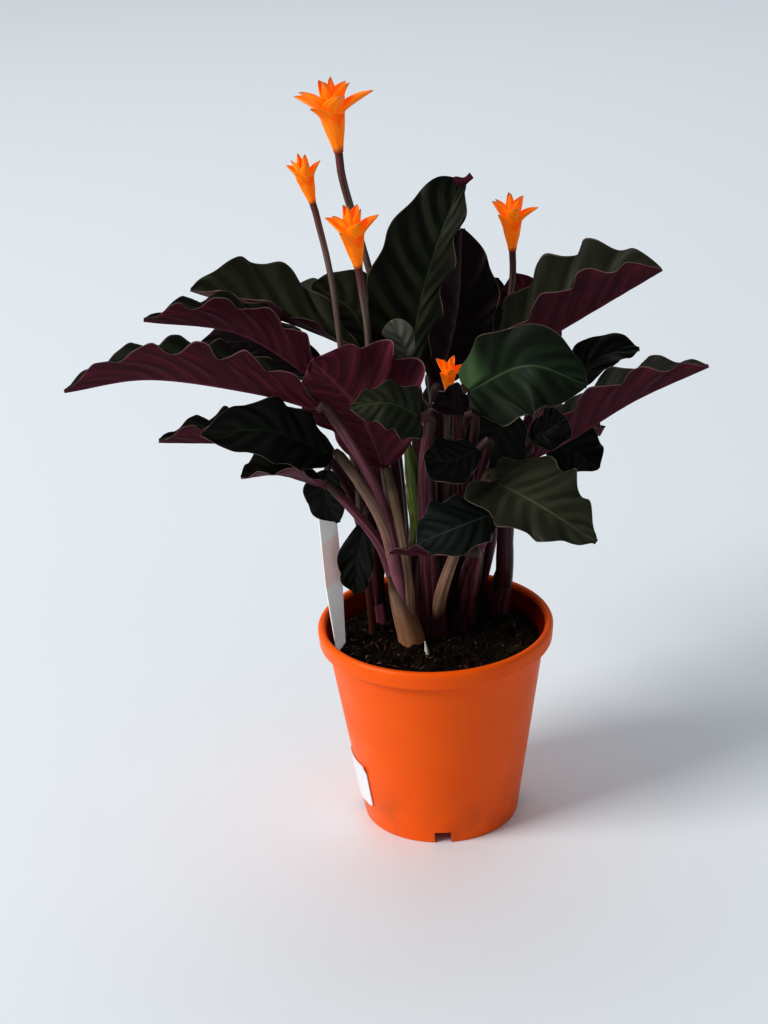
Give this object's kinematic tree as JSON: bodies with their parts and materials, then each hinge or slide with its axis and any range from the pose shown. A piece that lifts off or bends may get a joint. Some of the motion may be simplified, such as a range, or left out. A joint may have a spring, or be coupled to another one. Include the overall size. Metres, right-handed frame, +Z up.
{
  "type": "potted flowering plant",
  "caption": "Bushy houseplant with waved dark green leaves, purple underneath, and slim stalks with orange flower heads, in a round tapered orange nursery pot.",
  "frame": {"origin": "centre of the flat pad under the pot, on the pot's axis and on the surface that the pot stands on", "axes": "+Z up along the pot's axis, +X to the viewer's right, +Y away from the viewer, with the plant label at the -X side"},
  "size_m": [0.3308, 0.2269, 0.4173],
  "materials": {
    "pot_plastic": "satin orange moulded plastic",
    "potting_mix": "moist dark fibrous potting mix",
    "label_plastic": "thin white plastic, bare",
    "sticker_paper": "white coated paper, bare",
    "leaf": "leathery leaf, near-black green with grey-green feathering above, purple underneath",
    "leaf_stalk": "smooth mauve-brown leaf stalk",
    "flower_stalk": "slim grey-brown stem with fine hair",
    "bract": "soft waxy orange bract",
    "young_leaf": "smooth bright green rolled leaf",
    "sprout": "smooth pale sprout"
  },
  "bodies": {
    "root": {"pot": "pot_plastic", "leaf_01": "leaf", "leaf_02": "leaf", "leaf_03": "leaf", "leaf_04": "leaf", "leaf_05": "leaf", "leaf_06": "leaf", "leaf_07": "leaf", "leaf_08": "leaf", "leaf_09": "leaf", "leaf_10": "leaf", "leaf_11": "leaf", "leaf_12": "leaf", "leaf_13": "leaf", "leaf_14": "leaf", "leaf_15": "leaf", "leaf_16": "leaf", "leaf_17": "leaf", "leaf_18": "leaf", "leaf_19": "leaf", "leaf_20": "leaf", "leaf_21": "leaf", "leaf_22": "leaf", "leaf_23": "leaf", "leaf_24": "leaf", "leaf_25": "leaf", "leaf_26": "leaf", "leaf_27": "leaf", "leaf_28": "leaf", "leaf_29": "leaf", "leaf_30": "leaf", "leaf_31": "leaf", "leaf_32": "leaf", "leaf_33": "leaf", "leaf_34": "leaf", "leaf_35": "leaf", "leaf_36": "leaf", "shoot_front": "leaf_stalk", "shoot_left": "leaf_stalk", "shoot_middle": "leaf_stalk", "shoot_right": "leaf_stalk", "shoot_far_right": "leaf_stalk", "shoot_back_left": "leaf_stalk", "shoot_back": "leaf_stalk", "shoot_back_right": "leaf_stalk", "flower_1_stalk": "flower_stalk", "flower_1_head": "bract", "flower_2_stalk": "flower_stalk", "flower_2_head": "bract", "flower_3_stalk": "flower_stalk", "flower_3_head": "bract", "flower_4_stalk": "flower_stalk", "flower_4_head": "bract", "flower_5_stalk": "flower_stalk", "flower_5_head": "bract", "rolled_leaf": "young_leaf", "sprout": "sprout", "plant_label": "label_plastic", "sticker": "sticker_paper", "soil": "potting_mix"}
  },
  "joints": []
}
